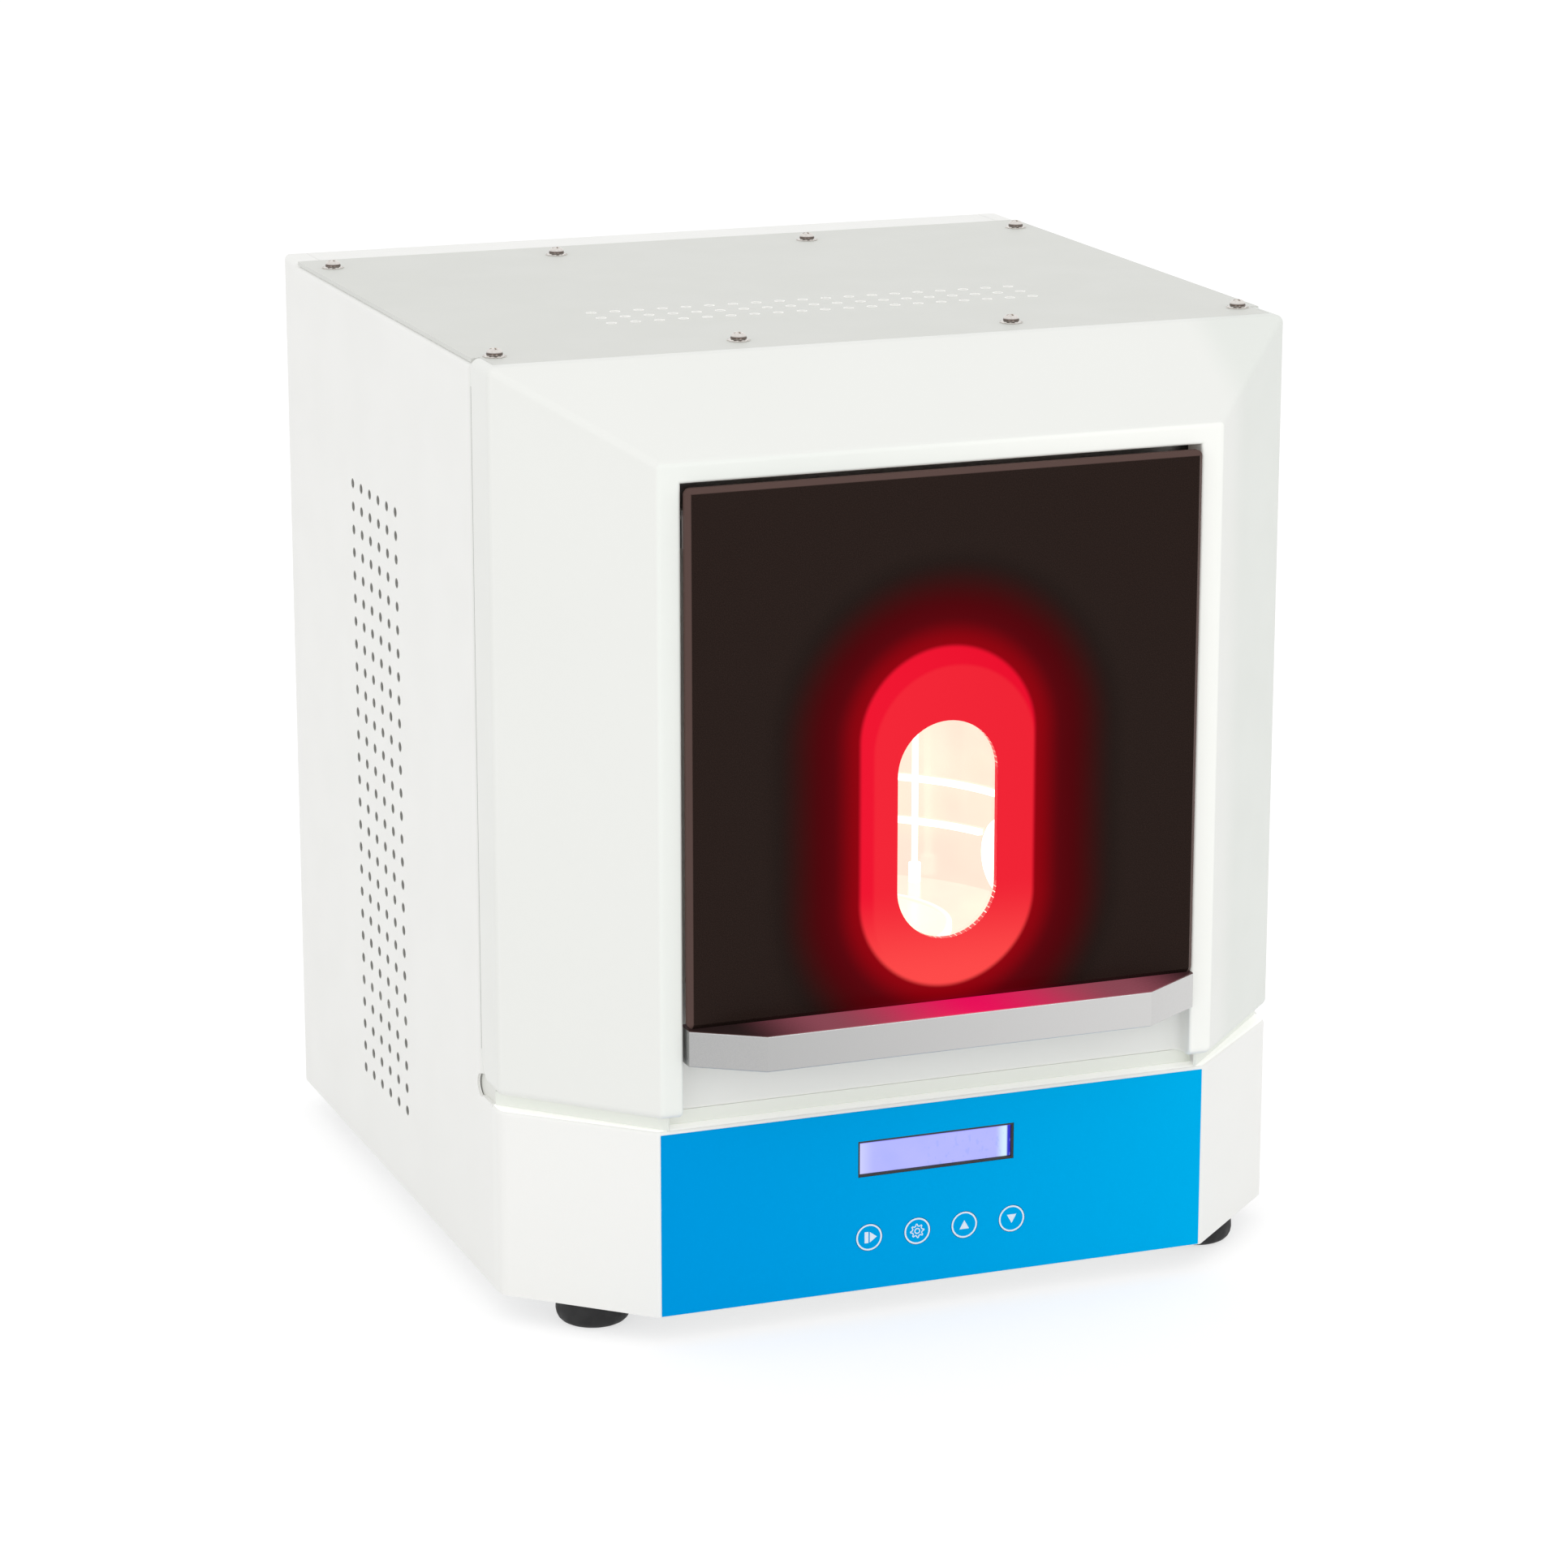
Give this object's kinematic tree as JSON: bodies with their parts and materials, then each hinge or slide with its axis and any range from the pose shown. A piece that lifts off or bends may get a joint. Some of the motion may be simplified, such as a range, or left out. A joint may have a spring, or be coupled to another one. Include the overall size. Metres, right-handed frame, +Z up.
{
  "type": "dental light curing cabinet",
  "caption": "Bench-top cabinet that cures dental resin with light: flip-up dark door with a window, turntable in a bright chamber, blue control face with display and keys.",
  "frame": {"origin": "middle of the object's box in X and Y, at the level that the feet stand on", "axes": "+Z up, +Y to the back, +X to the right seen from the front"},
  "size_m": [0.4, 0.44, 0.463],
  "materials": {
    "painted_white": "satin powder coat, off-white",
    "bezel_white": "satin moulded, off-white",
    "zinc_sheet": "zinc coated",
    "polished_liner": "polished stainless",
    "door_frame_metal": "black",
    "door_tint": "dark tinted sheet, satin face",
    "window_clear": "clear",
    "satin_aluminium": "satin anodised",
    "chrome_screw": "bright plated",
    "bush_nylon": "natural",
    "seal_rubber": "soft black",
    "foot_rubber": "matte black",
    "magnet_nickel": "nickel plated",
    "light_diffuser": "opal, lit",
    "table_steel": "polished",
    "motor_steel": "plated",
    "label_blue": "satin printed film, bright blue",
    "key_blue": "satin film, bright blue",
    "lcd_dark": "dark frame",
    "lcd_lit": "lilac backlight",
    "board_green": "circuit board",
    "black_plastic": "black",
    "guard_wire": "bright plated",
    "contact_brass": "plated"
  },
  "bodies": {
    "case": {"side_panel_right": "painted_white", "side_panel_left": "painted_white", "base_front": "painted_white", "base_pan": "painted_white", "deck_plate": "zinc_sheet", "back_panel": "painted_white", "top_cover": "painted_white", "cover_screws": "chrome_screw", "front_bezel": "bezel_white", "hinge_bush_left": "bush_nylon", "hinge_bush_right": "bush_nylon", "catch_magnets": "magnet_nickel", "chamber_wall": "polished_liner", "chamber_floor": "polished_liner", "chamber_ceiling": "polished_liner", "chamber_front": "zinc_sheet", "pedestal": "zinc_sheet", "light_band_lower": "light_diffuser", "light_band_upper": "light_diffuser", "light_tube_right": "light_diffuser", "light_tube_left": "light_diffuser", "side_lamp_left": "light_diffuser", "side_lamp_right": "light_diffuser", "turntable_motor": "motor_steel", "control_label": "label_blue", "lcd_frame": "lcd_dark", "lcd_glass": "lcd_lit", "control_board": "board_green", "key_switches": "black_plastic", "fan_housing": "black_plastic", "fan_guard": "guard_wire", "fan_screws": "chrome_screw", "mains_inlet": "black_plastic", "inlet_pins": "contact_brass", "switch_frame": "black_plastic", "power_supply": "zinc_sheet", "foot_front_left": "foot_rubber", "foot_front_right": "foot_rubber", "foot_rear_left": "foot_rubber", "foot_rear_right": "foot_rubber", "foot_screws": "chrome_screw"},
    "door": {"door_panel": "door_tint", "window_pane": "window_clear", "door_frame": "door_frame_metal", "door_liner": "polished_liner", "door_seal": "seal_rubber", "hinge_pins": "chrome_screw", "handle_bar": "satin_aluminium", "handle_screws": "chrome_screw", "catch_plates": "magnet_nickel"},
    "turntable": {"turntable_disc": "table_steel", "turntable_shaft": "magnet_nickel"},
    "fan": {"fan_rotor": "black_plastic"},
    "power_rocker": {"switch_rocker": "black_plastic"},
    "key_run": {"key_run": "key_blue"},
    "key_settings": {"key_settings": "key_blue"},
    "key_up": {"key_up": "key_blue"},
    "key_down": {"key_down": "key_blue"}
  },
  "joints": [
    {"name": "door_hinge", "type": "hinge", "parent": "case", "child": "door", "pos_m": [0, -0.191, 0.3961], "axis": [-1, 0, 0], "range_deg": [0, 100]},
    {"name": "turntable_spin", "type": "hinge", "parent": "case", "child": "turntable", "pos_m": [0, -0.06, 0.16], "axis": [0, 0, 1], "continuous": true},
    {"name": "fan_spin", "type": "hinge", "parent": "case", "child": "fan", "pos_m": [0, 0.203, 0.303], "axis": [0, 1, 0], "continuous": true},
    {"name": "power_switch", "type": "hinge", "parent": "case", "child": "power_rocker", "pos_m": [0.085, 0.214, 0.063], "axis": [1, 0, 0], "range_deg": [0, 24]},
    {"name": "key_run_press", "type": "slide", "parent": "case", "child": "key_run", "axis": [0, 1, 0], "range_m": [0, 0.0008], "stiffness_N_per_m": 400},
    {"name": "key_settings_press", "type": "slide", "parent": "case", "child": "key_settings", "axis": [0, 1, 0], "range_m": [0, 0.0008], "stiffness_N_per_m": 400},
    {"name": "key_up_press", "type": "slide", "parent": "case", "child": "key_up", "axis": [0, 1, 0], "range_m": [0, 0.0008], "stiffness_N_per_m": 400},
    {"name": "key_down_press", "type": "slide", "parent": "case", "child": "key_down", "axis": [0, 1, 0], "range_m": [0, 0.0008], "stiffness_N_per_m": 400}
  ]
}
